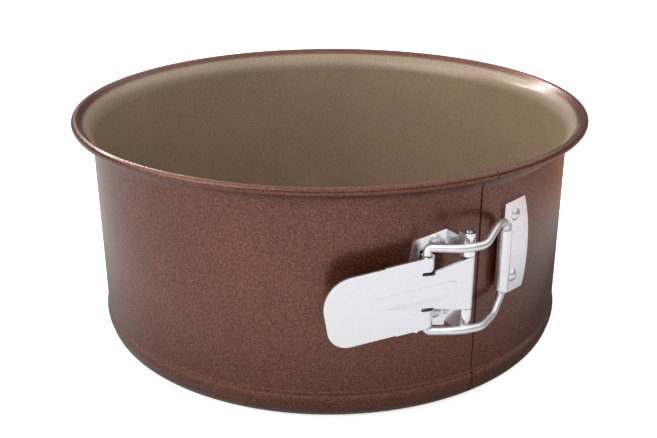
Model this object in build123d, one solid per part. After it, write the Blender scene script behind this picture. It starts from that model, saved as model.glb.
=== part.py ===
"""Round springform cake tin, 180 mm across inside, with its side clasp.

Millimetres, +Z up. The origin is on the tin's axis, on the plane it stands on.
The seam of the band, with the clasp over it, faces -Y.
"""
from build123d import *
import math
import os

# Tin: band and base
inner_radius = 90.0
band_sheet = 0.5
tin_height = 85.7
bead_radius = 1.53
bead_reach = 5.75
flange_angle = 45
flange_blend = 7.0
seam_gap = 0.8
rim_seam_gap = 0.12
rim_seam_depth = 5.5
foot_height = 11.3
foot_bulge = 0.7
foot_bulge_height = 8.6
foot_bulge_end_height = 5.6
foot_bulge_end_overhang = 0.1
foot_curve_reach = 4.8
foot_curve_mid_inset = 2.0
foot_curve_mid_height = 1.6
lip_width = 4.3
lap_sheet = 0.34
lap_fit = 0.06
lap_reach = 9.0
lap_root = 4.0
lap_base_gap = 1.0
lap_rim_gap = 5.5

base_sheet = 0.6
base_edge_clearance = 0.7
base_edge_height = 8.2
base_curve_clearance = 0.35
base_step_clearance = 0.3
base_step_run = 0.6

# Clasp: heights and shared stock
clasp_below_rim = 33.9
wire_diameter = 2.8
clasp_sheet = 0.9
running_fit = 0.06
face_gap = 0.15
open_gap = 0.3
roll_turn = 290

# Hinge pin and bracket
pin_diameter = 2.2
pin_seam_offset = 11.8
pin_standoff = 8.5
pin_end_recess = 0.9
knuckle_length = 7.7
tongue_height = 18.0
bracket_sheet = 0.9
bracket_drop = 1.8
bracket_half_height = 17.1
bracket_corner_drop = 2.4
bracket_corner_inset = 1.7
bracket_corner_radius = 2.0
bracket_side_drop = 11.0
bracket_left_offset = 26.0
bracket_spine_width = 3.2
bracket_knuckle_setback = 2.4

# Lever
lever_angle = 20.3
lever_sheet = 0.9
lever_slant = 9.0
lever_width = 23.6
lever_wide_step = 0.3
lever_step_place = 25.5
lever_length = 46.6
lever_upper_corner = 10.5
lever_lower_corner = 6.5
ear_place = 13.2
ear_slot_depth = 0.6
ear_slot_width = 1.2
upper_ear_height = 4.6
lower_ear_height = 5.8
ear_chamfer = 1.4
tooth_place = 18.8
tooth_half_width = 1.1
tooth_depth = 0.6
rib_start = 3.5
rib_length = 28.0
rib_width = 4.2
rib_rise = 0.35
rib_lift = 0.5

# Bail: places of the three bends of each leg, and their heights beyond the ears' edges
bail_upper_rises = (2.86, 3.81, 3.31, 6.11, 3.71)
bail_lower_rises = (2.43, 0.38, 1.28, 2.33, -1.72)
bail_bend_radius = 8.0
bail_rod_bend_radius = 3.0
bail_knuckle_gap = 0.5
bail_knee_dip = 0.15
bail_knee_before = 4.4
bail_knee_after = 3.4
bail_hump_run = 7.0
bail_hump_out = 4.1

# Catch plate
catch_seam_offset = 8.5
catch_standoff = 2.7
catch_sheet = 0.9
catch_centre_lift = 2.3
catch_half_height = 17.0
catch_curl_lift = 0.3
catch_curl_half = 10.8
catch_edge_gap = 0.3
catch_ramp_run = 3.6
catch_right_offset = 24.03
catch_corner_inset = 4.0
catch_corner_drop = 1.6
catch_side_lean = 1.6
catch_corner_radius = 1.0

# Rivets
rivet_head_diameter = 4.4
rivet_head_rise = 1.1
rivet_shank_diameter = 2.0
bracket_rivet_offsets = (17.58, 16.34)
bracket_rivet_heights = (12.2, 13.5)
catch_rivet_offsets = (15.56, 16.34)
catch_rivet_spreads = (13.6, 9.0)

cut_overrun = 5.0

outer_radius = inner_radius + band_sheet
bead_ring_radius = outer_radius + bead_reach
bead_height = tin_height - bead_radius
clasp_height = tin_height - clasp_below_rim
pin_depth = outer_radius + pin_standoff
catch_depth = outer_radius + catch_standoff
quarter_turn = 90
full_turn = 360


def on_circle(radius, offset):
    """Point on the radius that passes the band at a distance right of the seam's plane."""
    turn = math.asin(offset / outer_radius)
    return (radius * math.sin(turn), -radius * math.cos(turn))


def ring_sector(inner, outer, from_offset, to_offset):
    """Plan of a strip between two radii and two distances right of the seam's plane."""
    reach = 2 * outer_radius
    wedge = Polygon(
        (0, 0), on_circle(reach, from_offset), on_circle(reach, to_offset), align=None
    )
    return (Circle(outer) - Circle(inner)) & wedge


def thick_strip(path, thickness, side=Side.LEFT):
    """Flat face: a strip of sheet metal that follows a path."""
    return make_face(offset(path, amount=thickness, side=side, closed=True))


def rolled(centre, inner, sheet, end_angle):
    """Face of a sheet's edge rolled into an open ring that ends at an angle."""
    start_angle = end_angle - roll_turn
    small = CenterArc(centre, inner, start_angle, roll_turn)
    large = CenterArc(centre, inner + sheet, start_angle, roll_turn)
    caps = [Line(small @ 0, large @ 0), Line(small @ 1, large @ 1)]
    return make_face(Wire([small, large, *caps]))


def curled_plan(inner, sheet, straight):
    """Face of a sheet that comes in along +X, above the origin, and curls round it."""
    ring = mirror(rolled((0, 0), inner, sheet, quarter_turn), Plane.YZ)
    run = Pos(0, inner) * Rectangle(straight, sheet, align=Align.MIN)
    return ring + run


def curled_sheet(centre, heading, inner, sheet, straight, low, high, up=1):
    """Sheet that curls round an upright pin or rod and runs off along a heading."""
    place = Plane(origin=(centre.X, centre.Y, low), x_dir=heading, z_dir=(0, 0, up))
    return extrude(place * curled_plan(inner, sheet, straight), high - low, dir=(0, 0, 1))


def band_section():
    """Section of the band, from the rolled rim down to the lip that carries the base."""
    roll_radius = bead_radius - band_sheet
    roll_end = quarter_turn + flange_angle
    roll_place = (bead_ring_radius, bead_height)
    roll = rolled(roll_place, roll_radius, band_sheet, roll_end)
    flange_top = Vector(*roll_place) + Vector(roll_radius, 0).rotate(Axis.Z, roll_end)
    flange_foot = flange_top.Y - (flange_top.X - outer_radius) * math.tan(math.radians(flange_angle))
    wall = FilletPolyline(
        (flange_top.X, flange_top.Y),
        (outer_radius, flange_foot),
        (outer_radius, foot_height),
        radius=flange_blend,
    )
    bulge_end = outer_radius + foot_bulge_end_overhang
    bulge = ThreePointArc(
        (outer_radius, foot_height),
        (outer_radius + foot_bulge, foot_bulge_height),
        (bulge_end, foot_bulge_end_height),
    )
    curve_end = bulge_end - foot_curve_reach
    curve = ThreePointArc(
        (bulge_end, foot_bulge_end_height),
        (bulge_end - foot_curve_mid_inset, foot_curve_mid_height),
        (curve_end, 0),
    )
    lip = Line((curve_end, 0), (curve_end - lip_width, 0))
    outer_line = Wire([*wall.edges(), bulge, curve, lip])
    return roll + thick_strip(outer_line, band_sheet, Side.RIGHT)


def band_half(side):
    """One half of the band, from the seam to the back; side is -1 left, 1 right."""
    ring = revolve(Plane.XZ * band_section(), Axis.Z, full_turn)
    keep = Box(
        bead_ring_radius + cut_overrun,
        2 * (bead_ring_radius + cut_overrun),
        tin_height + cut_overrun,
        align=(Align.MIN if side > 0 else Align.MAX, Align.CENTER, Align.MIN),
    )
    half = ring & keep
    reach = bead_ring_radius + cut_overrun
    for gap, height in ((seam_gap, tin_height - rim_seam_depth), (rim_seam_gap, tin_height)):
        half -= Box(gap, reach, height, align=(Align.CENTER, Align.MAX, Align.MIN))
    if side > 0:
        half += seam_lap()
    return half


def seam_lap():
    """Strip inside the right half that closes the seam behind the left half."""
    outer = inner_radius - lap_fit
    tongue = ring_sector(outer - lap_sheet, outer, -lap_reach, lap_root)
    root = ring_sector(outer - lap_sheet, inner_radius + band_sheet / 2, seam_gap / 2, lap_root)
    low = base_edge_height + lap_base_gap
    return Pos(0, 0, low) * extrude(tongue + root, tin_height - lap_rim_gap - low)


def base_disc():
    """Loose base: a flat panel, a step up onto the lip and an upturned edge."""
    edge_radius = inner_radius - base_edge_clearance
    bulge_end = outer_radius + foot_bulge_end_overhang
    curve_start = bulge_end - foot_curve_reach
    lip_inner = curve_start - lip_width
    inset = band_sheet + base_curve_clearance
    step_radius = lip_inner - base_step_clearance
    under = Polyline(
        (0, 0),
        (step_radius - base_step_run, 0),
        (step_radius, band_sheet),
        (curve_start - inset, band_sheet),
    )
    curve = ThreePointArc(
        (curve_start - inset, band_sheet),
        (bulge_end - foot_curve_mid_inset - inset, foot_curve_mid_height + inset),
        (edge_radius, foot_bulge_end_height + inset),
    )
    rise = Line(
        (edge_radius, foot_bulge_end_height + inset),
        (edge_radius, base_edge_height),
    )
    path = Wire([*under.edges(), curve, rise])
    section = Plane.XZ * thick_strip(path, base_sheet)
    return revolve(section, Axis.Z, full_turn)


pin_x = -pin_seam_offset
pin_radius = pin_diameter / 2
wire_radius = wire_diameter / 2
tongue_curl_inner = pin_radius + running_fit
tongue_curl_outer = tongue_curl_inner + lever_sheet
knuckle_inner = pin_radius + running_fit
knuckle_outer = knuckle_inner + bracket_sheet
wire_curl_inner = wire_radius + running_fit
ear_curl_outer = wire_curl_inner + lever_sheet
catch_curl_outer = wire_curl_inner + catch_sheet
knuckle_near = tongue_height / 2 + face_gap
knuckle_far = knuckle_near + knuckle_length
bracket_centre = clasp_height - bracket_drop
catch_centre = clasp_height + catch_centre_lift
catch_curl_height = clasp_height + catch_curl_lift
lever_turn = math.radians(lever_angle)
slant_turn = math.radians(lever_slant)
lever_along = Vector(-math.cos(lever_turn), math.sin(lever_turn), 0)
lever_out = Vector(-math.sin(lever_turn), -math.cos(lever_turn), 0)
pin_place = Vector(pin_x, -pin_depth, clasp_height)
ear_place_out = tongue_curl_outer - ear_curl_outer
ear_centre = pin_place + lever_along * ear_place + lever_out * ear_place_out
catch_curl_centre = Vector(catch_seam_offset, -catch_depth, catch_curl_height)


def wall_strip(sheet, from_offset, to_offset):
    """Plan of a sheet that lies on the band."""
    return ring_sector(outer_radius, outer_radius + sheet, from_offset, to_offset)


def seen_from_front(outline):
    """Prism with an outline in X and Z that runs through the whole clasp."""
    depth = pin_depth + cut_overrun
    return extrude(Plane.XZ * outline, depth)


def aimed(piece, offset, height):
    """Turn a piece made along +Z outward from the tin's axis, to a place on the band."""
    angle = math.degrees(math.asin(offset / outer_radius))
    return Pos(0, 0, height) * Rot(0, 0, angle) * Rot(quarter_turn, 0, 0) * piece


def rivet(offset, height, plate_sheet):
    """Domed rivet through a plate and the band, set flush inside."""
    seat = outer_radius + plate_sheet
    head_radius = rivet_head_diameter / 2
    ball_radius = (head_radius**2 + rivet_head_rise**2) / (2 * rivet_head_rise)
    ball = Pos(0, 0, seat + rivet_head_rise - ball_radius) * Sphere(ball_radius)
    head = split(ball, Plane.XY.offset(seat), keep=Keep.TOP)
    shank = extrude(Plane.XY.offset(inner_radius) * Circle(rivet_shank_diameter / 2), seat - inner_radius)
    return aimed(head + shank, offset, height)


def rivet_hole(offset, height):
    """Clearance hole for a rivet's shank."""
    bore = extrude(Circle(rivet_shank_diameter / 2 + running_fit), outer_radius + cut_overrun)
    return aimed(bore, offset, height)


def bracket_rivet_places():
    return [
        (-bracket_rivet_offsets[0], clasp_height + bracket_rivet_heights[0]),
        (-bracket_rivet_offsets[1], clasp_height - bracket_rivet_heights[1]),
    ]


def catch_rivet_places():
    return [
        (catch_rivet_offsets[0], clasp_height + catch_rivet_spreads[0]),
        (catch_rivet_offsets[1], clasp_height - catch_rivet_spreads[1]),
    ]


def hinge_bracket():
    """Plate on the band with two knuckles on a web that stands out from it."""
    web_left = pin_place.X - knuckle_outer
    web_right = web_left + bracket_sheet
    low = bracket_centre - bracket_half_height
    high = bracket_centre + bracket_half_height
    left = -bracket_left_offset
    plan = wall_strip(bracket_sheet, left, web_right)
    outline = Polygon(
        (web_right, high),
        (web_left, high),
        (left + bracket_corner_inset, high - bracket_corner_drop),
        (left, high - bracket_side_drop),
        (left, low + bracket_side_drop),
        (left + bracket_corner_inset, low + bracket_corner_drop),
        (web_left, low),
        (web_right, low),
        align=None,
    )
    outline = fillet(outline.vertices().group_by(Axis.X)[:2], bracket_corner_radius)
    plate = Pos(0, 0, low) * extrude(plan, high - low)
    plate = plate & seen_from_front(outline)
    window = Pos(left + bracket_spine_width, 0, clasp_height) * Box(
        web_right - left,
        pin_depth,
        2 * knuckle_near,
        align=(Align.MIN, Align.MAX, Align.CENTER),
    )
    body = plate - window
    web_run = pin_depth - math.sqrt(outer_radius**2 - web_left**2)
    wall = Cylinder(outer_radius, tin_height, align=(Align.CENTER, Align.CENTER, Align.MIN))
    for near, far in ((knuckle_near, knuckle_far), (-knuckle_far, -knuckle_near)):
        body += curled_sheet(
            pin_place,
            (0, 1, 0),
            knuckle_inner,
            bracket_sheet,
            web_run,
            clasp_height + near,
            clasp_height + far,
        )
    above_web = Pos(web_left, bracket_knuckle_setback - pin_depth, high) * Box(
        bracket_sheet, web_run, knuckle_far, align=Align.MIN
    )
    body = body - wall - above_web
    for offset, height in bracket_rivet_places():
        body -= rivet_hole(offset, height)
    return body


def hinge_pin():
    """Pin in the bracket's knuckles, a little short of their ends."""
    length = 2 * (knuckle_far - pin_end_recess)
    return Pos(*pin_place) * Cylinder(pin_radius, length)


def lever_point(along, across):
    """Point on the lever's face, in its own slanted length and width."""
    return (
        along * math.cos(slant_turn) + across * math.sin(slant_turn),
        across * math.cos(slant_turn) - along * math.sin(slant_turn),
    )


def lever_strip(start, end, half_width):
    """Slanted rectangle along the lever."""
    return Polygon(
        lever_point(start, -half_width),
        lever_point(end, -half_width),
        lever_point(end, half_width),
        lever_point(start, half_width),
        align=None,
    )


def lever_face_plane(level):
    """Plane along the lever: X to its free end, Y up, at a level out from the pin."""
    return Plane(
        origin=tuple(pin_place + lever_out * level),
        x_dir=tuple(lever_along),
        z_dir=tuple(-lever_out),
    )


def lever_outline():
    """Slanted grip with two round corners, wider at the ears, with a tooth below."""
    half = lever_width / 2
    wide = half + lever_wide_step
    grip = lever_strip(0, lever_length, half)
    low_end, high_end = grip.vertices().sort_by(Axis.X)[-2:].sort_by(Axis.Y)
    low_place = low_end.center()
    grip = fillet(high_end, lever_upper_corner)
    grip = fillet(grip.vertices().sort_by_distance(low_place)[0], lever_lower_corner)
    tooth = Polygon(
        lever_point(tooth_place - tooth_half_width, -wide),
        lever_point(tooth_place, -wide - tooth_depth),
        lever_point(tooth_place + tooth_half_width, -wide),
        lever_point(tooth_place, 0),
        align=None,
    )
    return grip + lever_strip(0, lever_step_place, wide) + tooth


def pressed(outline):
    """Prism with an outline on the lever's face that runs through the curls behind."""
    return extrude(lever_face_plane(0) * outline, lever_width, both=True)


def lever():
    """Grip plate with a tongue curled on the pin and two ears curled for the bail."""
    outline = lever_outline()
    slot_end = ear_place + ear_slot_depth
    joined = slot_end + lever_sheet
    far = lever_length + lever_width
    beyond = Pos(slot_end, 0) * Rectangle(far, 2 * far, align=(Align.MIN, Align.CENTER))
    plate = extrude(lever_face_plane(tongue_curl_outer) * (outline & beyond), lever_sheet)

    top, bottom = ear_roots()
    half_tongue = tongue_height / 2
    tongue_face = Polygon(
        (-tongue_curl_outer, half_tongue),
        (0, half_tongue),
        (joined, top - ear_slot_width),
        (joined, bottom + ear_slot_width),
        (0, -half_tongue),
        (-tongue_curl_outer, -half_tongue),
        align=None,
    )
    tongue = curled_sheet(
        pin_place,
        lever_along,
        tongue_curl_inner,
        lever_sheet,
        joined,
        clasp_height - half_tongue,
        clasp_height + half_tongue,
    )
    body = plate + (tongue & pressed(tongue_face))

    ear_start = ear_place - ear_curl_outer
    top_face = Polygon(
        (ear_start, top + ear_chamfer),
        (ear_start + ear_chamfer, top),
        (joined, top),
        (joined, top + upper_ear_height),
        (ear_start, top + upper_ear_height),
        align=None,
    )
    bottom_face = Polygon(
        (ear_start, bottom),
        (joined, bottom),
        (joined, bottom - lower_ear_height),
        (ear_start, bottom - lower_ear_height),
        align=None,
    )
    for face in (top_face, bottom_face):
        ear = curled_sheet(
            ear_centre,
            lever_along,
            wire_curl_inner,
            lever_sheet,
            joined - ear_place,
            clasp_height - lever_width,
            clasp_height + lever_width,
        )
        body += ear & pressed(face & outline)

    slot_round = ear_slot_width / 2
    slot_length = 2 * (joined - ear_place) + ear_slot_width
    for height in (top - slot_round, bottom + slot_round):
        body -= pressed(Pos(ear_place, height) * SlotOverall(slot_length, ear_slot_width))

    rib = Pos(*lever_point(rib_start + rib_length / 2, rib_lift))
    rib = rib * Rot(0, 0, -lever_slant) * SlotOverall(rib_length, rib_width)
    ridge = extrude(lever_face_plane(tongue_curl_outer + rib_rise) * rib, rib_rise + lever_sheet / 2)
    return body + ridge


def ear_roots():
    """Heights of the slots' outer edges, upper and lower, from the lever's middle."""
    wide = lever_width / 2 + lever_wide_step
    top = lever_point(ear_place, wide)[1] - upper_ear_height
    bottom = lever_point(ear_place, -wide)[1] + lower_ear_height
    return top, bottom


def bail_leg(side):
    """Points of one leg, from its end over an ear to the rod in the catch plate."""
    top, bottom = ear_roots()
    ear_edge = top + upper_ear_height if side > 0 else bottom - lower_ear_height
    rises = bail_upper_rises if side > 0 else bail_lower_rises
    knee_out = pin_depth + knuckle_outer + wire_radius + bail_knuckle_gap
    places = [
        (ear_centre.X, ear_centre.Y),
        (pin_place.X - bail_knee_before, bail_knee_dip - knee_out),
        (pin_place.X + bail_knee_after, -knee_out),
        (catch_seam_offset - bail_hump_run, -catch_depth - bail_hump_out),
        (catch_seam_offset, -catch_depth),
    ]
    ear_height = clasp_height + ear_edge
    points = [(*places[0], ear_height + side * open_gap)]
    for place, rise in zip(places, rises):
        points.append((*place, ear_height + side * rise))
    return points


def bail():
    """Wire loop from the lever's ears, bowed round the knuckles, to the catch plate."""
    route = bail_leg(1) + bail_leg(-1)[::-1]
    end_bend = wire_radius + open_gap
    leg_bends = [end_bend, bail_bend_radius, bail_bend_radius, bail_bend_radius, bail_rod_bend_radius]
    path = FilletPolyline(*route, radius=leg_bends + leg_bends[::-1])
    section = Plane(origin=path @ 0, z_dir=path % 0) * Circle(wire_radius)
    return sweep(section, path)


def catch_plate():
    """Plate on the band whose left edge is curled round the bail's upright rod."""
    centre = catch_curl_centre
    curl_low = catch_curl_height - catch_curl_half
    curl_high = catch_curl_height + catch_curl_half
    low = catch_centre - catch_half_height
    high = catch_centre + catch_half_height
    left = centre.X + wire_radius + catch_edge_gap
    right = catch_right_offset
    plan = wall_strip(catch_sheet, left, right)
    side = ThreePointArc(
        (right - catch_corner_inset, high),
        (right, catch_centre),
        (right - catch_side_lean, low),
    )
    edges = Polyline(
        (right - catch_side_lean, low),
        (left - catch_sheet, low),
        (left - catch_sheet, high - catch_corner_drop / 2),
        (right - catch_corner_inset, high),
    )
    outline = make_face(Wire([side, *edges.edges()]))
    corners = outline.vertices().sort_by(Axis.X)[-2:]
    outline = fillet(corners, catch_corner_radius)
    plate = Pos(0, 0, low) * extrude(plan, high - low)
    plate = plate & seen_from_front(outline)
    foot_x = left + catch_ramp_run
    foot = Vector(foot_x, -math.sqrt((outer_radius + catch_sheet) ** 2 - foot_x**2), 0)
    reach = foot - Vector(centre.X, centre.Y, 0)
    ramp_run = math.sqrt(reach.length**2 - catch_curl_outer**2)
    ramp_turn = math.atan2(reach.Y, reach.X) + math.asin(catch_curl_outer / reach.length)
    curl = curled_sheet(
        centre,
        (math.cos(ramp_turn), math.sin(ramp_turn), 0),
        wire_curl_inner,
        catch_sheet,
        ramp_run + 2 * catch_sheet,
        curl_low,
        curl_high,
        up=-1,
    )
    cleared = Pos(0, 0, curl_low) * Box(
        foot_x, pin_depth, curl_high - curl_low, align=(Align.MIN, Align.MAX, Align.MIN)
    )
    wall = Cylinder(outer_radius, tin_height, align=(Align.CENTER, Align.CENTER, Align.MIN))
    plate = (plate - cleared) + (curl - wall)
    for offset, height in catch_rivet_places():
        plate -= rivet_hole(offset, height)
    return plate


def make_tin():
    """Every piece of the tin by its name."""
    left = band_half(-1)
    right = band_half(1)
    for offset, height in bracket_rivet_places():
        left -= rivet_hole(offset, height)
    for offset, height in catch_rivet_places():
        right -= rivet_hole(offset, height)
    pieces = {
        "band_left": left,
        "band_right": right,
        "base_disc": base_disc(),
        "hinge_bracket": hinge_bracket(),
        "hinge_pin": hinge_pin(),
        "lever": lever(),
        "bail": bail(),
        "catch_plate": catch_plate(),
    }
    for word, (offset, height) in zip(("upper", "lower"), bracket_rivet_places()):
        pieces[f"bracket_rivet_{word}"] = rivet(offset, height, bracket_sheet)
    for word, (offset, height) in zip(("upper", "lower"), catch_rivet_places()):
        pieces[f"catch_rivet_{word}"] = rivet(offset, height, catch_sheet)
    return pieces


os.makedirs("parts", exist_ok=True)
for name, piece in make_tin().items():
    export_step(piece, f"parts/{name}.step")
    box = piece.bounding_box()
    print(name, len(piece.solids()), round(piece.volume, 1), box)
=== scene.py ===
# %% [markdown]
# # A round springform cake tin
# A springform tin is a sheet-steel band with a loose base. A plated clasp pulls the two ends of the band
# together. The band has a brown non-stick coating outside and an olive-brown one inside.
# The solids come first, as a fixed frame. This script dresses them: it turns the band and the base from
# their true sections, rounds the edges of the clasp's pieces, and gives every surface its finish.

# %% Load the frame
import math

import bmesh
import bpy
import numpy as np
from mathutils import Matrix, Vector


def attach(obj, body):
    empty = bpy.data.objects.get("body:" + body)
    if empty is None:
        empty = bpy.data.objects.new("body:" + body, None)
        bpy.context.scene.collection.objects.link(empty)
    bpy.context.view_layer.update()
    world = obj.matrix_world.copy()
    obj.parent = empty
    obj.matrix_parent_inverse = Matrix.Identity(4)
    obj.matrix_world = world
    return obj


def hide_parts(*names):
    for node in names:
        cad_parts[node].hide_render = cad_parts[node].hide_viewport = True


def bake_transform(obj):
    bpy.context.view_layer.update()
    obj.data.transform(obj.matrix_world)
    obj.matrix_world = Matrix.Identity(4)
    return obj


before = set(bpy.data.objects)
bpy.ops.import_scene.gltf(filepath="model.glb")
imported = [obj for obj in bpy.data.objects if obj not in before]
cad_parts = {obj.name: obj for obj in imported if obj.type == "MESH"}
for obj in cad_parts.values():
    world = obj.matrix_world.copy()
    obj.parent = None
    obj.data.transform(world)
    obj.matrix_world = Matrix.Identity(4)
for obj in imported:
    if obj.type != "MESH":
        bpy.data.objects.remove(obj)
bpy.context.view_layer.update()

MM = 0.001
inner_radius = 90.0
band_sheet = 0.5
outer_radius = inner_radius + band_sheet
print("frame nodes:", ", ".join(sorted(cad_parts)))
print("tin:", 2 * inner_radius, "mm across inside, sheet", band_sheet, "mm")


# %% [markdown]
# ## Lines and arcs
# A turned shape needs only its section, and a sheet's section is one bent line with a thickness. Small
# functions give the points of an arc, of a rounded corner and of a sheet's second face, so that each section
# further down reads like a bending plan. Sections are in millimetres, as radius and height.

# %% Arcs
def arc(centre, radius, start, end, count):
    """Points on an arc, in radians."""
    angles = np.linspace(start, end, count)
    return [(centre[0] + radius * math.cos(a), centre[1] + radius * math.sin(a)) for a in angles]


def arc_through(first, middle, last, count):
    """Points on the arc through three points."""
    (ax, ay), (bx, by), (cx, cy) = first, middle, last
    scale = 2 * (ax * (by - cy) + bx * (cy - ay) + cx * (ay - by))
    sa, sb, sc = ax**2 + ay**2, bx**2 + by**2, cx**2 + cy**2
    centre = (
        (sa * (by - cy) + sb * (cy - ay) + sc * (ay - by)) / scale,
        (sa * (cx - bx) + sb * (ax - cx) + sc * (bx - ax)) / scale,
    )
    angles = np.unwrap([math.atan2(y - centre[1], x - centre[0]) for x, y in (first, middle, last)])
    return arc(centre, math.dist(centre, first), angles[0], angles[2], count)


half_turn = arc((0, 0), 1, 0, math.pi, 3)
print("half a turn in three points:", [(round(x, 2), round(y, 2)) for x, y in half_turn])


# %% [markdown]
# A bend in sheet is never sharp, so a corner is given as a point and rounded. The second face of a sheet lies
# to the right of the line's travel. At a bend it moves a little further, or the sheet would come out thin.

# %% Rounded corners and sheet
def rounded_corner(before, corner, after, radius, count):
    """Points on the arc that rounds a corner."""
    corner = Vector(corner)
    back = (Vector(before) - corner).normalized()
    on = (Vector(after) - corner).normalized()
    half = back.angle(on) / 2
    reach = radius / math.tan(half)
    centre = corner + (back + on).normalized() * (radius / math.sin(half))
    first = corner + back * reach
    last = corner + on * reach
    middle = centre + (corner - centre).normalized() * radius
    return arc_through(tuple(first), tuple(middle), tuple(last), count)


most_stretch = 2


def sheet_loop(line, thickness):
    """Closed section of a sheet: a line and its copy, moved to the right of its travel."""
    points = np.array(line)
    steps = np.diff(points, axis=0)
    steps /= np.linalg.norm(steps, axis=1)[:, None]
    ahead = np.vstack([steps, steps[-1:]])
    behind = np.vstack([steps[:1], steps])
    travel = ahead + behind
    travel /= np.linalg.norm(travel, axis=1)[:, None]
    stretch = 1 / np.maximum((travel * ahead).sum(axis=1), 1 / most_stretch)
    right = np.stack([travel[:, 1], -travel[:, 0]], axis=1)
    moved = points + right * (thickness * stretch)[:, None]
    return [tuple(p) for p in points] + [tuple(p) for p in moved[::-1]]


print("a straight sheet has", len(sheet_loop([(0.0, 0.0), (1.0, 0.0)], band_sheet)), "corners")


# %% [markdown]
# ## One function for every node
# Materials and Geometry Nodes are both node trees. One helper adds a node, gives it its settings and fills or
# links its inputs, so that each tree further down reads from its first node to its last.
# Colours are written as sRGB hex, as a screen shows them, and turned to the linear values of a shader.

# %% Node helper and colours
def add_node(tree, kind, inputs=None, **settings):
    node = tree.nodes.new(kind)
    for name, value in settings.items():
        setattr(node, name, value)
    for name, value in (inputs or {}).items():
        socket = node.inputs[name]
        if isinstance(value, bpy.types.NodeSocket):
            tree.links.new(value, socket)
        else:
            socket.default_value = value
    return node


def linear(code, alpha=1.0):
    """An sRGB hex colour as linear values: the two branches of the sRGB curve."""
    parts = [int(code[i:i + 2], 16) / 255 for i in (1, 3, 5)]
    return [p / 12.92 if p <= 0.04045 else ((p + 0.055) / 1.055) ** 2.4 for p in parts] + [alpha]


def empty_material(name):
    material = bpy.data.materials.new(name)
    material.use_nodes = True
    material.node_tree.nodes.clear()
    return material


print("mid grey is", round(linear("#808080")[0], 3), "in linear light")

# %% [markdown]
# ## The coating
# The band is sheet steel with a baked non-stick coating: dark metallic flakes in a binder, under a thin clear
# skin. Outside it is a chestnut brown with a fine orange-peel grain, and it mirrors the clasp softly as a
# dark shape on the wall. Inside it is an olive brown, smoother and more matt.
# The flakes make the brown glow where it faces the light and sink where something blocks it, so the shader is
# part metal. The clear skin is a coat, which whitens the wall where it turns away from the eye.
# One mask, carried from the section's points, tells the inside from the outside.

# %% Coating values
brown_tones = ("#4e291d", "#643828", "#7d4b38")
olive_tones = ("#8c7861", "#96816a", "#a08b73")
tone_stops = (0.35, 0.5, 0.65)
grain_size = 0.62
grain_depth = 0.05
cloud_size = 34.0
cloud_shade = {"From Min": 0.3, "From Max": 0.7, "To Min": 0.93, "To Max": 1.07}
mask_edge = {"From Min": 0.35, "From Max": 0.65}
metallic_by_side = {"To Min": 0.62, "To Max": 0.2}
roughness_by_side = {"To Min": 0.34, "To Max": 0.48}
peel_by_side = {"To Min": 0.5, "To Max": 0.12}
# A Mix node keeps its colour sockets in these places.
mix_a, mix_b, mix_result = 6, 7, 2
print("grain of the coating:", grain_size, "mm; clouding:", cloud_size, "mm")


# %% Coated steel
def tones(tree, factor, codes):
    """Colour ramp through three hex colours, dark to light."""
    ramp = add_node(tree, "ShaderNodeValToRGB", {"Fac": factor})
    stops = ramp.color_ramp.elements
    stops[0].position = tone_stops[0]
    stops[0].color = linear(codes[0])
    stops[1].position = tone_stops[2]
    stops[1].color = linear(codes[2])
    stops.new(tone_stops[1]).color = linear(codes[1])
    return ramp.outputs["Color"]


def coated_steel(name, coat_weight, coat_roughness):
    """Metallic brown coating outside, olive inside, by the mesh's own mask."""
    material = empty_material(name)
    tree = material.node_tree
    place = add_node(tree, "ShaderNodeTexCoord").outputs["Object"]
    mask = add_node(tree, "ShaderNodeAttribute", attribute_name="inner_face").outputs["Fac"]
    is_inside = add_node(tree, "ShaderNodeMapRange", {"Value": mask, **mask_edge}).outputs["Result"]
    grain = add_node(
        tree,
        "ShaderNodeTexNoise",
        {"Vector": place, "Scale": 1 / (grain_size * MM), "Detail": 2.0, "Roughness": 0.6},
    ).outputs["Fac"]
    cloud = add_node(
        tree, "ShaderNodeTexNoise", {"Vector": place, "Scale": 1 / (cloud_size * MM), "Detail": 2.0}
    ).outputs["Fac"]
    brown = tones(tree, grain, brown_tones)
    olive = tones(tree, grain, olive_tones)
    colour = add_node(
        tree, "ShaderNodeMix", {"Factor": is_inside, mix_a: brown, mix_b: olive}, data_type="RGBA"
    ).outputs[mix_result]
    shade = add_node(tree, "ShaderNodeMapRange", {"Value": cloud, **cloud_shade}).outputs["Result"]
    tinted = add_node(
        tree,
        "ShaderNodeMix",
        {"Factor": 1.0, mix_a: colour, mix_b: shade},
        data_type="RGBA",
        blend_type="MULTIPLY",
    ).outputs[mix_result]
    flakes = add_node(tree, "ShaderNodeMapRange", {"Value": is_inside, **metallic_by_side})
    rough = add_node(tree, "ShaderNodeMapRange", {"Value": is_inside, **roughness_by_side})
    peel = add_node(tree, "ShaderNodeMapRange", {"Value": is_inside, **peel_by_side})
    bump = add_node(
        tree,
        "ShaderNodeBump",
        {"Height": grain, "Strength": peel.outputs["Result"], "Distance": grain_depth * MM},
    )
    shader = add_node(
        tree,
        "ShaderNodeBsdfPrincipled",
        {
            "Base Color": tinted,
            "Metallic": flakes.outputs["Result"],
            "Roughness": rough.outputs["Result"],
            "Normal": bump.outputs["Normal"],
            "Coat Weight": coat_weight,
            "Coat Roughness": coat_roughness,
        },
    )
    add_node(tree, "ShaderNodeOutputMaterial", {"Surface": shader.outputs["BSDF"]})
    return material


# The band's skin is clear enough to mirror the clasp; the base's is duller, so it shows only a sheen.
coating = coated_steel("baked_nonstick_coating_on_steel", coat_weight=0.5, coat_roughness=0.18)
base_coating = coated_steel("matt_baked_coating_on_steel", coat_weight=0.35, coat_roughness=0.35)
print("materials:", coating.name, base_coating.name)

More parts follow.
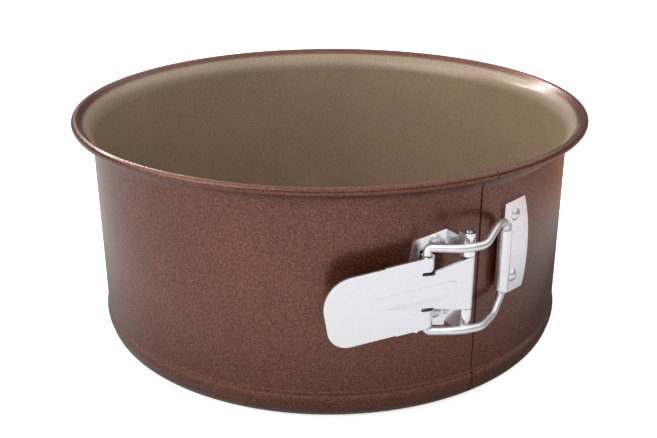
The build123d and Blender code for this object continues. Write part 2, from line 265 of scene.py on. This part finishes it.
# %% [markdown]
# ## The plating
# The clasp is pressed from mild steel and nickel plated. Plating copies what is under it, so the metal is
# bright but not a mirror: it keeps the faint drawn lines of the strip, and its reflections wander a little.
# Three finishes differ only in how sharply they mirror: the pressed bracket and pin are the brightest, the
# broad plates are satin, and the drawn wire and the rivets are the dullest.

# %% Plating values
plating_colour = "#f8f8fb"
drawn_line_size = 0.5
drawn_line_depth = 0.02
drawn_line_stretch = (0.12, 0.12, 1.0)
ripple_size = 9.0
ripple_depth = 0.12
line_range = {"From Min": 0.3, "From Max": 0.7}
smoother_by = 0.04
rougher_by = 0.06
print("drawn lines:", drawn_line_size, "mm apart")


# %% Plated steel
def plated_steel(name, roughness):
    """Bright metal with drawn lines and a slow ripple."""
    material = empty_material(name)
    tree = material.node_tree
    place = add_node(tree, "ShaderNodeTexCoord").outputs["Object"]
    drawn = add_node(tree, "ShaderNodeMapping", {"Vector": place, "Scale": drawn_line_stretch})
    lines = add_node(
        tree,
        "ShaderNodeTexNoise",
        {"Vector": drawn.outputs["Vector"], "Scale": 1 / (drawn_line_size * MM), "Detail": 4.0},
    ).outputs["Fac"]
    ripple = add_node(
        tree, "ShaderNodeTexNoise", {"Vector": place, "Scale": 1 / (ripple_size * MM), "Detail": 1.0}
    ).outputs["Fac"]
    rough = add_node(
        tree,
        "ShaderNodeMapRange",
        {"Value": lines, **line_range, "To Min": roughness - smoother_by, "To Max": roughness + rougher_by},
    )
    fine = add_node(
        tree, "ShaderNodeBump", {"Height": lines, "Strength": 0.04, "Distance": drawn_line_depth * MM}
    )
    bump = add_node(
        tree,
        "ShaderNodeBump",
        {
            "Height": ripple,
            "Strength": 0.5,
            "Distance": ripple_depth * MM,
            "Normal": fine.outputs["Normal"],
        },
    )
    shader = add_node(
        tree,
        "ShaderNodeBsdfPrincipled",
        {
            "Base Color": linear(plating_colour),
            "Metallic": 1.0,
            "Roughness": rough.outputs["Result"],
            "Normal": bump.outputs["Normal"],
        },
    )
    add_node(tree, "ShaderNodeOutputMaterial", {"Surface": shader.outputs["BSDF"]})
    return material


bright_plating = plated_steel("bright_nickel_plated_steel", roughness=0.2)
satin_plating = plated_steel("satin_nickel_plated_steel", roughness=0.3)
wire_plating = plated_steel("drawn_nickel_plated_wire", roughness=0.4)
print("materials:", bright_plating.name, satin_plating.name, wire_plating.name)


# %% [markdown]
# ## Turning a section in Geometry Nodes
# The band and the base are the same shape all the way round, so a rule makes them: a section carried along
# an arc. The section is the object's own mesh, a loop of edges. A modifier's tree turns it into a curve and
# sweeps it. An open arc gets a cap at each end, and a full ring is closed, so that its ends can't miss each
# other at the middle. The same tree makes the halves, the piece at the back, the lap and the base.

# %% Geometry Nodes: common parts of a tree
def new_geometry_tree(name, inputs):
    tree = bpy.data.node_groups.new(name, "GeometryNodeTree")
    tree.interface.new_socket("Geometry", in_out="INPUT", socket_type="NodeSocketGeometry")
    for label, kind in inputs:
        tree.interface.new_socket(label, in_out="INPUT", socket_type=kind)
    tree.interface.new_socket("Geometry", in_out="OUTPUT", socket_type="NodeSocketGeometry")
    return tree


def finish_tree(tree, geometry, material):
    """Ends a tree in plain geometry with a material, which is what the export can take."""
    whole = add_node(tree, "GeometryNodeRealizeInstances", {"Geometry": geometry})
    dressed = add_node(
        tree, "GeometryNodeSetMaterial", {"Geometry": whole.outputs["Geometry"], "Material": material}
    )
    add_node(tree, "NodeGroupOutput", {"Geometry": dressed.outputs["Geometry"]})


# %% Geometry Nodes: turned sheet
weld_gap = 0.001


def turned_sheet_tree():
    tree = new_geometry_tree(
        "turned_sheet",
        [
            ("Ring Radius", "NodeSocketFloat"),
            ("Start Angle", "NodeSocketFloat"),
            ("Sweep Angle", "NodeSocketFloat"),
            ("Steps", "NodeSocketInt"),
            ("Closed", "NodeSocketBool"),
            ("Material", "NodeSocketMaterial"),
        ],
    )
    given = add_node(tree, "NodeGroupInput").outputs
    section = add_node(tree, "GeometryNodeMeshToCurve", {"Mesh": given["Geometry"]})
    path = add_node(
        tree,
        "GeometryNodeCurveArc",
        {
            "Resolution": given["Steps"],
            "Radius": given["Ring Radius"],
            "Start Angle": given["Start Angle"],
            "Sweep Angle": given["Sweep Angle"],
        },
    )
    ring = add_node(
        tree, "GeometryNodeSetSplineCyclic", {"Geometry": path.outputs["Curve"], "Cyclic": given["Closed"]}
    )
    upright = add_node(tree, "GeometryNodeSetCurveNormal", {"Curve": ring.outputs["Geometry"]}, mode="Z_UP")
    swept = add_node(
        tree,
        "GeometryNodeCurveToMesh",
        {"Curve": upright.outputs["Curve"], "Profile Curve": section.outputs["Curve"], "Fill Caps": True},
    )
    welded = add_node(
        tree, "GeometryNodeMergeByDistance", {"Geometry": swept.outputs["Mesh"], "Distance": weld_gap * MM}
    )
    finish_tree(tree, welded.outputs["Geometry"], given["Material"])
    return tree


turned_sheet = turned_sheet_tree()
print("tree:", turned_sheet.name, "with", len(turned_sheet.nodes), "nodes")


# %% [markdown]
# A tree does its work as a modifier. The result is taken as a plain mesh and the modifier goes, so that what
# is seen is exactly what is kept.

# %% Running a tree
def set_input(modifier, label, value):
    """Sets a modifier's input by its socket's identifier."""
    for item in modifier.node_group.interface.items_tree:
        if item.item_type == "SOCKET" and item.in_out == "INPUT" and item.name == label:
            modifier[item.identifier] = value


def evaluated_mesh(holder):
    """The mesh that an object's modifiers make of it, as a plain mesh."""
    bpy.context.view_layer.update()
    return bpy.data.meshes.new_from_object(holder.evaluated_get(bpy.context.evaluated_depsgraph_get()))


def linked_object(name, mesh):
    piece = bpy.data.objects.new(name, mesh)
    bpy.context.scene.collection.objects.link(piece)
    return piece


def run_tree(name, mesh, tree, values):
    """Runs a tree on a mesh and returns the result as a plain object."""
    holder = linked_object(name + "_holder", mesh)
    modifier = holder.modifiers.new("nodes", "NODES")
    modifier.node_group = tree
    for label, value in values.items():
        set_input(modifier, label, value)
    result = evaluated_mesh(holder)
    result.name = name
    bpy.data.objects.remove(holder)
    return linked_object(name, result)


def smooth_by_angle(piece, degrees):
    """Smooth shading that keeps the edges sharper than an angle."""
    piece.data.polygons.foreach_set("use_smooth", [True] * len(piece.data.polygons))
    piece.data.set_sharp_from_angle(angle=math.radians(degrees))


# %% [markdown]
# The section goes into the tree with the ring's radius taken off, because the arc carries it there. Its mask
# for the inside goes along as an attribute. At the axis of a full ring many points become one, and the edge
# that is left there without faces is deleted.

# %% A turned piece
full_turn = 360
seam_heading = -90
sheet_crease = 32


def turned(name, section, start, sweep, steps, material):
    """A section turned about the tin's axis; angles in degrees from -Y, positive to the right."""
    loop, inside = section
    count = len(loop)
    closed = sweep == full_turn
    points = [((r - outer_radius) * MM, -z * MM, 0) for r, z in loop]
    mesh = bpy.data.meshes.new(name + "_section")
    mesh.from_pydata(points, [(i, (i + 1) % count) for i in range(count)], [])
    mesh.attributes.new("inner_face", "FLOAT", "POINT").data.foreach_set("value", inside)
    values = {
        "Ring Radius": outer_radius * MM,
        "Start Angle": math.radians(start + seam_heading),
        "Sweep Angle": math.radians(sweep * (steps - 1) / steps if closed else sweep),
        "Steps": steps,
        "Closed": closed,
        "Material": material,
    }
    piece = run_tree(name, mesh, turned_sheet, values)
    work = bmesh.new()
    work.from_mesh(piece.data)
    on_axis = [edge for edge in work.edges if not edge.link_faces]
    bmesh.ops.delete(work, geom=on_axis, context="EDGES")
    bmesh.ops.recalc_face_normals(work, faces=work.faces)
    work.to_mesh(piece.data)
    work.free()
    smooth_by_angle(piece, sheet_crease)
    high = max(vertex.co.z for vertex in piece.data.vertices) / MM
    print(name, len(piece.data.polygons), "faces, up to", round(high, 2), "mm")
    return piece


# %% [markdown]
# ## The band's section
# From the top: a rolled bead, a flange that slopes in to the straight wall, a bulged foot and a lip on which
# the base lies. It is drawn as the line of its outer face, as a roll former would bend a flat strip, and the
# sheet's thickness is added inwards. These are the sizes that the solids were drawn with.

# %% Band section
tin_height = 85.7
bead_radius = 1.53
bead_ring_radius = 96.25
bead_height = tin_height - bead_radius
roll_turn = math.radians(290)
roll_points = 30
flange_angle = math.radians(45)
flange_blend = 7.0
flange_points = 16
wall_row_heights = (60.0, 30.0)
foot_height = 11.3
foot_lead = 0.6
foot_bulge = 0.7
foot_bulge_height = 8.6
foot_end_height = 5.6
foot_end_overhang = 0.1
foot_curve_reach = 4.8
foot_curve_mid_inset = 2.0
foot_curve_mid_height = 1.6
foot_points = 12
lip_width = 4.3
bulge_end = outer_radius + foot_end_overhang
foot_curve_start = bulge_end - foot_curve_reach
lip_inner = foot_curve_start - lip_width


def band_section():
    """Section of the band, rim to lip, and how far each point is the inside: radius, height in mm."""
    roll_radius = bead_radius - band_sheet
    roll_end = math.pi / 2 + flange_angle
    line = arc((bead_ring_radius, bead_height), roll_radius, roll_end - roll_turn, roll_end, roll_points)
    roll_count = len(line)
    flange_top = line[-1]
    flange_foot = flange_top[1] - (flange_top[0] - outer_radius) * math.tan(flange_angle)
    corner = (outer_radius, flange_foot)
    foot_top = (outer_radius, foot_height)
    line += rounded_corner(flange_top, corner, foot_top, flange_blend, flange_points)
    line += [(outer_radius, height) for height in (*wall_row_heights, foot_height + foot_lead)]
    bulge_middle = (outer_radius + foot_bulge, foot_bulge_height)
    foot_end = (bulge_end, foot_end_height)
    line += arc_through(foot_top, bulge_middle, foot_end, foot_points)
    curve_middle = (bulge_end - foot_curve_mid_inset, foot_curve_mid_height)
    line += arc_through(foot_end, curve_middle, (foot_curve_start, 0), foot_points)[1:]
    line += [(lip_inner, 0)]
    loop = sheet_loop(line, band_sheet)
    inside = [0.0] * len(line) + [1.0] * (len(line) - roll_count) + [0.0] * roll_count
    return loop, inside


print("across the rim:", 2 * (bead_ring_radius + bead_radius), "mm;", len(band_section()[0]), "points")

# %% [markdown]
# ## The band
# The real band is one springy strip. The frame has it as two rigid halves, so the strip is made in three
# lengths: one for each half, and a short one at the back between them.
# Below the rim the ends stand further apart than in the rolled rim, which nearly closes. Their rows of
# points are moved to that width.

# %% Band
seam_gap = 0.8
rim_seam_gap = 0.12
rim_seam_depth = 5.5
back_span = 12.0
half_steps = 150
back_steps = 24
seam_turn = math.degrees(rim_seam_gap / 2 / outer_radius)
back_start = full_turn / 2 - back_span
left_start = -back_start
half_sweep = back_start - seam_turn
band_left = turned("band_left_sheet", band_section(), left_start, half_sweep, half_steps, coating)
band_right = turned("band_right_sheet", band_section(), seam_turn, half_sweep, half_steps, coating)
band_back = turned("band_back_sheet", band_section(), back_start, 2 * back_span, back_steps, coating)
for piece, side in ((band_left, -1), (band_right, 1)):
    for vertex in piece.data.vertices:
        at_seam = abs(vertex.co.x) < seam_gap / 2 * MM and vertex.co.y < 0
        if at_seam and vertex.co.z < (tin_height - rim_seam_depth) * MM:
            vertex.co.x = side * seam_gap / 2 * MM
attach(band_left, "root")
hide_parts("band_left")
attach(band_right, "right_band")
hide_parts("band_right")

# %% [markdown]
# ## The lap behind the seam
# A thin strip on the right half lies behind the left half's end and keeps batter in and light out. It runs
# inside the wall, with a hair of clearance so that it can slide. A joint thick enough to reach the wall holds
# it to the right half. Both are low rings of rectangular section, and so the same tree turns them.

# %% Lap
lap_sheet = 0.34
lap_fit = 0.06
lap_reach = 9.0
lap_root = 4.0
lap_low = 9.2
lap_high = 80.2
lap_steps = 12
joint_high = 76.5
joint_bite = 0.2
joint_steps = 5


def lap_section(outer, high):
    """Section of the lap strip, brown towards the seam and olive towards the cake."""
    inner = inner_radius - lap_fit - lap_sheet
    return [(inner, lap_low), (outer, lap_low), (outer, high), (inner, high)], [1.0, 0.0, 0.0, 1.0]


def seam_angle(offset):
    """Angle from the seam, in degrees, of a point on the wall that is an offset in mm away."""
    return math.degrees(math.asin(offset / outer_radius))


lap_end = seam_angle(lap_root)
lap_start = -seam_angle(lap_reach)
joint_start = seam_angle(seam_gap / 2)
lap_face = lap_section(inner_radius - lap_fit, lap_high)
joint_face = lap_section(inner_radius + joint_bite, joint_high)
lap = turned("seam_lap", lap_face, lap_start, lap_end - lap_start, lap_steps, coating)
lap_joint = turned("seam_lap_joint", joint_face, joint_start, lap_end - joint_start, joint_steps, coating)
for piece in (lap, lap_joint):
    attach(piece, "right_band")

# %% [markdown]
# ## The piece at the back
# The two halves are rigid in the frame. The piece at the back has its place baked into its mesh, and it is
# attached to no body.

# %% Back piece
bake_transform(band_back)

# %% [markdown]
# ## The base
# A loose pressed disc. It steps up at its rim to lie on the band's lip, and its edge turns up inside the
# foot. Its section follows the band's foot at a small clearance, so that it drops in from above.

# %% Base
base_sheet = 0.6
base_edge_clearance = 0.7
base_edge_height = 8.2
base_curve_clearance = 0.35
base_step_clearance = 0.3
base_step_run = 0.6
base_steps = 180


def base_section():
    """Section of the loose base, edge to middle, and how far each point is the inside."""
    edge_radius = inner_radius - base_edge_clearance
    inset = band_sheet + base_curve_clearance
    step_radius = lip_inner - base_step_clearance
    curve_top = (edge_radius, foot_end_height + inset)
    curve_middle = (bulge_end - foot_curve_mid_inset - inset, foot_curve_mid_height + inset)
    curve_end = (foot_curve_start - inset, band_sheet)
    line = [(edge_radius, base_edge_height)]
    line += arc_through(curve_top, curve_middle, curve_end, foot_points)
    line += [(step_radius, band_sheet), (step_radius - base_step_run, 0), (0, 0)]
    return sheet_loop(line, base_sheet), [0.0] * len(line) + [1.0] * len(line)


base = turned("base_plate", base_section(), 0, full_turn, base_steps, base_coating)
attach(base, "base")
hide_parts("base_disc")

# %% [markdown]
# ## The clasp's pieces
# The pressed pieces keep the shape of their solids. A stamped edge is never a knife edge: tumbling and
# plating round it, and that thin round is what catches the light. Each solid's mesh is copied, its doubles
# are merged, its flat faces joined, and its edges rounded with a bevel. The bevel's hardened normals keep the
# flats flat, which is what makes a plated face read as one even tone.

# %% Rounded copies of the solids
press_crease = 28
double_gap = 0.002
flat_angle = 0.6
round_segments = 2


def rounded_copy(node, name, edge_round, finish):
    """Copy of a solid with merged vertices, flat faces and rounded edges."""
    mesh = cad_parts[node].data.copy()
    work = bmesh.new()
    work.from_mesh(mesh)
    bmesh.ops.remove_doubles(work, verts=work.verts, dist=double_gap * MM)
    bmesh.ops.dissolve_limit(
        work, angle_limit=math.radians(flat_angle), verts=work.verts, edges=work.edges
    )
    work.to_mesh(mesh)
    work.free()
    piece = linked_object(name, mesh)
    smooth_by_angle(piece, press_crease)
    bevel = piece.modifiers.new("round", "BEVEL")
    bevel.width = edge_round * MM
    bevel.segments = round_segments
    bevel.limit_method = "ANGLE"
    bevel.angle_limit = math.radians(press_crease)
    bevel.harden_normals = True
    result = evaluated_mesh(piece)
    piece.modifiers.clear()
    piece.data = result
    piece.data.materials.clear()
    piece.data.materials.append(finish)
    print(name, len(result.polygons), "faces")
    return piece


# %% Clasp
plate_round = 0.16
grip_round = 0.2
# Solid, piece, the body it rides on, its edge round in mm and its finish.
clasp_plan = [
    ("hinge_bracket", "bracket_plate", "root", plate_round, bright_plating),
    ("hinge_pin", "bracket_pin", "root", grip_round, bright_plating),
    ("lever", "clasp_lever_plate", "clasp_lever", grip_round, satin_plating),
    ("bail", "bail_wire", "clasp_bail", grip_round, wire_plating),
    ("catch_plate", "catch_plate_sheet", "right_band", plate_round, satin_plating),
]
for node, name, body, edge_round, finish in clasp_plan:
    piece = rounded_copy(node, name, edge_round, finish)
    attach(piece, body)
    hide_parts(node)

# %% [markdown]
# ## The rivets
# Four domed rivets are the same thing four times, so one rivet is spun and a tree sets it on given points.
# Each point carries its own direction away from the tin. A rivet is a dome on a shank, set flush inside the
# band.

# %% One rivet
rivet_head_radius = 2.2
rivet_head_rise = 1.1
rivet_shoulder_radius = 1.6
rivet_shoulder_rise = 0.56
rivet_shank_radius = 1.0
dome_points = 10
rivet_steps = 40
rivet_crease = 40
plate_sheet = 0.9


def rivet_section():
    """Half section of a rivet from its inside end to the top of its dome: radius, height in mm."""
    seat = band_sheet + plate_sheet
    shoulder = (rivet_shoulder_radius, seat + rivet_shoulder_rise)
    dome = arc_through((rivet_head_radius, seat), shoulder, (0, seat + rivet_head_rise), dome_points)
    return [(0, 0), (rivet_shank_radius, 0), (rivet_shank_radius, seat), *dome]


def spun(name, section, steps):
    """A half section spun about Z into a closed mesh."""
    mesh = bpy.data.meshes.new(name)
    work = bmesh.new()
    rows = [work.verts.new((r * MM, 0, z * MM)) for r, z in section]
    edges = [work.edges.new(pair) for pair in zip(rows, rows[1:])]
    bmesh.ops.spin(
        work,
        geom=rows + edges,
        cent=(0, 0, 0),
        axis=(0, 0, 1),
        angle=math.tau,
        steps=steps,
        use_merge=True,
    )
    bmesh.ops.remove_doubles(work, verts=work.verts, dist=weld_gap * MM)
    bmesh.ops.recalc_face_normals(work, faces=work.faces)
    work.to_mesh(mesh)
    work.free()
    return bpy.data.objects.new(name, mesh)


rivet_pattern = spun("rivet_pattern", rivet_section(), rivet_steps)
print("one rivet:", len(rivet_pattern.data.polygons), "faces")


# %% Geometry Nodes: rivets
def rivet_tree():
    tree = new_geometry_tree(
        "set_rivets", [("Rivet", "NodeSocketObject"), ("Material", "NodeSocketMaterial")]
    )
    given = add_node(tree, "NodeGroupInput").outputs
    rivet = add_node(tree, "GeometryNodeObjectInfo", {"Object": given["Rivet"]}).outputs["Geometry"]
    outward = add_node(
        tree, "GeometryNodeInputNamedAttribute", {"Name": "outward"}, data_type="FLOAT_VECTOR"
    ).outputs["Attribute"]
    turn = add_node(tree, "FunctionNodeAlignRotationToVector", {"Vector": outward}, axis="Z")
    points = add_node(tree, "GeometryNodeMeshToPoints", {"Mesh": given["Geometry"]})
    placed = add_node(
        tree,
        "GeometryNodeInstanceOnPoints",
        {"Points": points.outputs["Points"], "Instance": rivet, "Rotation": turn.outputs["Rotation"]},
    )
    finish_tree(tree, placed.outputs["Instances"], given["Material"])
    return tree


set_rivets = rivet_tree()
print("tree:", set_rivets.name, "with", len(set_rivets.nodes), "nodes")

# %% Rivets on their plates
# Each rivet's place is its offset from the seam and its height, in mm.
bracket_places = [(-17.58, 64.0), (-16.34, 38.3)]
catch_places = [(15.56, 65.4), (16.34, 42.8)]
rivet_plan = [
    ("bracket_rivets", "root", bracket_places, ["bracket_rivet_upper", "bracket_rivet_lower"]),
    ("catch_rivets", "right_band", catch_places, ["catch_rivet_upper", "catch_rivet_lower"]),
]
for name, body, places, nodes in rivet_plan:
    turns = [math.asin(offset / outer_radius) for offset, height in places]
    outward = [(math.sin(a), -math.cos(a), 0) for a in turns]
    heights = [height for offset, height in places]
    points = [
        (inner_radius * MM * x, inner_radius * MM * y, z * MM) for (x, y, _), z in zip(outward, heights)
    ]
    mesh = bpy.data.meshes.new(name + "_points")
    mesh.from_pydata(points, [], [])
    mesh.attributes.new("outward", "FLOAT_VECTOR", "POINT").data.foreach_set("vector", np.ravel(outward))
    piece = run_tree(name, mesh, set_rivets, {"Rivet": rivet_pattern, "Material": wire_plating})
    smooth_by_angle(piece, rivet_crease)
    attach(piece, body)
    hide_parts(*nodes)
    print(name, len(piece.data.polygons), "faces")
bpy.data.objects.remove(rivet_pattern)

# %% [markdown]
# ## The photographer's table
# A product photograph on white: a paper floor that runs out of sight, and soft light from all round. Camera
# rays also get a glow from the paper, so that the ground is white where no shadow falls.
# Bright metal and the coating show what they mirror, and on a vertical wall seen from above that is the
# floor. So rays that mirror the floor see a painted reflection in place of the lit paper: painted light that
# is brightest in front and to the left, a painted shadow close to the tin, and painted dark brown on the
# right.

# %% Floor
floor_half = 6.0
floor_corners = [(-1, -1), (1, -1), (1, 1), (-1, 1)]
floor_mesh = bpy.data.meshes.new("floor")
floor_mesh.from_pydata([(floor_half * x, floor_half * y, 0) for x, y in floor_corners], [], [(0, 1, 2, 3)])
floor = linked_object("floor", floor_mesh)
print("floor:", 2 * floor_half, "m square")

# %% Paper, and the painted reflection that mirrored rays see
paper_colour = (0.8, 0.8, 0.8, 1)
paper_glow = 0.7
white = (1, 1, 1, 1)
# Painted reflection: the direction in which it turns to painted dark brown, and the centre of its painted
# shadow around the tin.
to_the_right = (0.95, 0.3, 0)
painted_shadow_centre = (0.03, 0.01, 0)
across_range = {"From Min": -0.3, "From Max": 0.3}
# From left to right, the painted reflection: bright paper, plain paper twice, then painted dark brown.
painted_reflection_stops = [
    (0.08, (0.98, 0.98, 1, 1)),
    (0.34, (0.725, 0.725, 0.74, 1)),
    (0.68, (0.725, 0.725, 0.74, 1)),
    (0.85, (0.44, 0.24, 0.18, 1)),
]
# Painted light in front of the tin, and painted shadow close to it.
painted_front_glow_span = {"From Min": -0.02, "From Max": 0.14, "To Min": 1.18, "To Max": 1.02}
painted_shadow_span = {"From Min": 0.1, "From Max": 0.17, "To Min": 0.1, "To Max": 1.0}

floor_paper = empty_material("white_paper_with_painted_reflection")
tree = floor_paper.node_tree
rays = add_node(tree, "ShaderNodeLightPath").outputs
lift = add_node(tree, "ShaderNodeMath", {0: rays["Is Camera Ray"], 1: paper_glow}, operation="MULTIPLY")
paper = add_node(tree, "ShaderNodeBsdfDiffuse", {"Color": paper_colour})
glow = add_node(tree, "ShaderNodeEmission", {"Color": white, "Strength": lift.outputs[0]})
lit = add_node(tree, "ShaderNodeAddShader", {0: paper.outputs[0], 1: glow.outputs[0]})
spot = add_node(tree, "ShaderNodeTexCoord").outputs["Object"]
right = add_node(tree, "ShaderNodeVectorMath", {0: spot, 1: to_the_right}, operation="DOT_PRODUCT")
reach = add_node(tree, "ShaderNodeVectorMath", {0: spot, 1: painted_shadow_centre}, operation="DISTANCE")
depth = add_node(tree, "ShaderNodeSeparateXYZ", {0: spot}).outputs["Y"]
across = add_node(tree, "ShaderNodeMapRange", {"Value": right.outputs["Value"], **across_range})
painted_reflection_ramp = add_node(tree, "ShaderNodeValToRGB", {"Fac": across.outputs["Result"]})
stops = painted_reflection_ramp.color_ramp.elements
for position, colour in painted_reflection_stops[2:]:
    stops.new(position)
for stop, (position, colour) in zip(stops, painted_reflection_stops):
    stop.position = position
    stop.color = colour
# Painted light: brighter in front of the tin.
painted_front_glow = add_node(tree, "ShaderNodeMapRange", {"Value": depth, **painted_front_glow_span})
# Painted shadow: darker close to the tin.
painted_tin_shadow = add_node(tree, "ShaderNodeMapRange", {"Value": reach.outputs["Value"], **painted_shadow_span})
painted_reflection_strength = add_node(
    tree,
    "ShaderNodeMath",
    {0: painted_front_glow.outputs["Result"], 1: painted_tin_shadow.outputs["Result"]},
    operation="MULTIPLY",
)
# Painted reflection: a glow that only mirrored rays see, in place of the lit paper.
painted_reflection_glow = add_node(
    tree, "ShaderNodeEmission", {"Color": painted_reflection_ramp.outputs["Color"], "Strength": painted_reflection_strength.outputs[0]}
)
both = add_node(
    tree, "ShaderNodeMixShader", {0: rays["Is Glossy Ray"], 1: lit.outputs[0], 2: painted_reflection_glow.outputs[0]}
)
add_node(tree, "ShaderNodeOutputMaterial", {"Surface": both.outputs[0]})
floor_mesh.materials.append(floor_paper)
print("floor material:", floor_paper.name)

# %% [markdown]
# ## The room
# The world is the soft light of a white room. Mirrored rays see it dark near the horizon, as the far end of a
# studio is, and bright overhead. That dark band draws the thin dark line along the front of the rim.
# A large softbox on the left models the round wall, and a long one behind lights the rolled rim.

# %% World and lamps
room_light = 1.02
white_background = 1.0
horizon_range = {"From Min": 0.3, "From Max": 0.65, "To Min": 0.12, "To Max": 1.15}
world = bpy.data.worlds.new("studio")
bpy.context.scene.world = world
world.use_nodes = True
tree = world.node_tree
tree.nodes.clear()
heading = add_node(tree, "ShaderNodeTexCoord").outputs["Generated"]
height = add_node(tree, "ShaderNodeSeparateXYZ", {0: heading}).outputs["Z"]
horizon = add_node(
    tree, "ShaderNodeMapRange", {"Value": height, **horizon_range}, interpolation_type="SMOOTHSTEP"
).outputs["Result"]
rays = add_node(tree, "ShaderNodeLightPath").outputs
around = add_node(
    tree, "ShaderNodeMix", {"Factor": rays["Is Glossy Ray"], "A": room_light, "B": horizon}
).outputs["Result"]
strength = add_node(
    tree, "ShaderNodeMix", {"Factor": rays["Is Camera Ray"], "A": around, "B": white_background}
).outputs["Result"]
sky = add_node(tree, "ShaderNodeBackground", {"Color": white, "Strength": strength})
add_node(tree, "ShaderNodeOutputWorld", {"Surface": sky.outputs[0]})

lamp_aim = (0, 0, 0.045)


def softbox(name, place, width, height, power):
    """Rectangular lamp aimed at the tin."""
    lamp = bpy.data.lights.new(name, "AREA")
    lamp.shape = "RECTANGLE"
    lamp.size = width
    lamp.size_y = height
    lamp.energy = power
    holder = linked_object(name, lamp)
    holder.location = place
    holder.rotation_euler = (Vector(lamp_aim) - Vector(place)).to_track_quat("-Z", "Y").to_euler()


softbox("softbox_left", place=(-1.0, 0.1, 0.7), width=1.1, height=1.1, power=7.0)
softbox("softbox_back", place=(-0.1, 1.1, 0.75), width=0.9, height=0.1, power=6.0)

# %% [markdown]
# ## The camera
# The photograph was taken from a little above, with the clasp to the right of the middle. The place and lens
# below are what its outlines of rim, wall and foot give.

# %% Camera
image_width = 657
focal_pixels = 942.55
sensor_width = 36.0
nearest = 0.01
camera_place = Vector((-190.5, -301.3, 182.3)) * MM
camera_turn = math.radians(32.2141)
camera_tilt = 0.389
camera_roll = -0.0039
lens = bpy.data.cameras.new("camera")
lens.sensor_width = sensor_width
lens.lens = focal_pixels / image_width * sensor_width
lens.clip_start = nearest
camera = linked_object("camera", lens)
camera.matrix_world = (
    Matrix.Translation(camera_place)
    @ Matrix.Rotation(-camera_turn, 4, "Z")
    @ Matrix.Rotation(math.pi / 2 - camera_tilt, 4, "X")
    @ Matrix.Rotation(camera_roll, 4, "Z")
)
bpy.context.scene.camera = camera
bpy.context.scene.view_settings.view_transform = "Standard"
print("lens:", round(lens.lens, 2), "mm")
